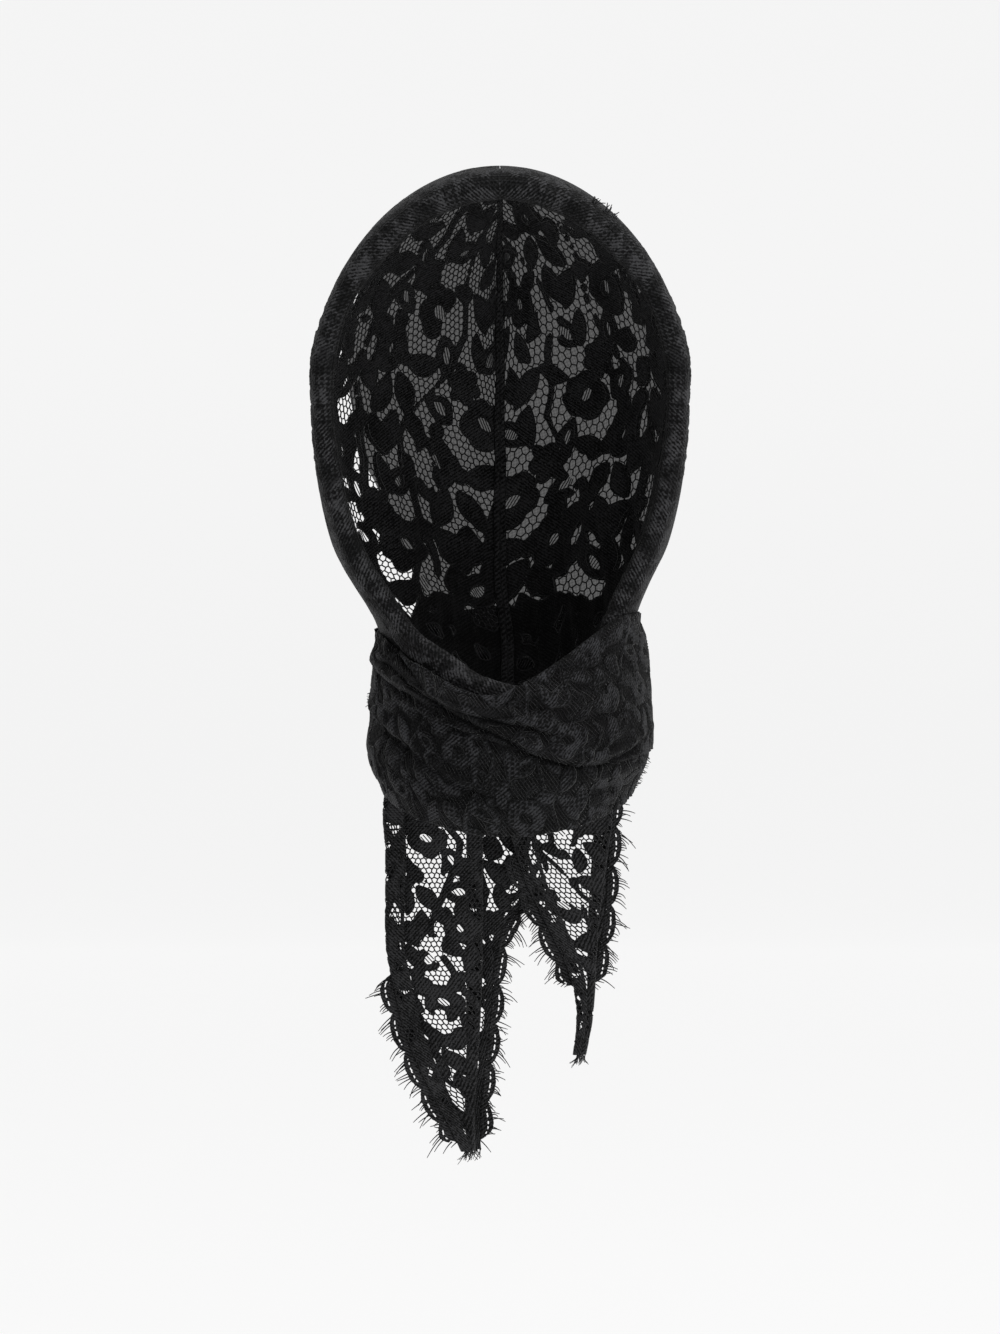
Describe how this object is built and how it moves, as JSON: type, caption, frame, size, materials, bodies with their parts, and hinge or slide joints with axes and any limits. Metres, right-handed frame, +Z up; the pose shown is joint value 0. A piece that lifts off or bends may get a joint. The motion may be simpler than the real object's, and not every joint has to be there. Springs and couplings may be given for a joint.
{
  "type": "lace headscarf",
  "caption": "Black floral lace headscarf in its worn form: a hood with a rolled face edge, wound round the neck, with two fringed ends hanging behind.",
  "frame": {"origin": "the top of the crown, on the seam over the head, where the wearer's head holds the scarf", "axes": "+Z up along the length, -Y the wearer's front with the face opening, +X the right of the front view"},
  "size_m": [0.1848, 0.189, 0.4907],
  "materials": {
    "lace": "matte corded lace",
    "band": "matte knitted band",
    "tulle": "fine matte tulle"
  },
  "bodies": {
    "root": {"hood_left": "lace", "hood_right": "lace", "lining_left": "tulle", "lining_right": "tulle", "back_seam": "band", "band_right": "band", "band_left": "band", "neck_lower": "lace", "neck_upper": "lace", "neck_back": "lace", "knot": "lace", "end_left": "lace", "end_right": "lace", "border_left_outer": "lace", "border_left_inner": "lace", "border_right_outer": "lace", "border_right_inner": "lace"}
  },
  "joints": []
}
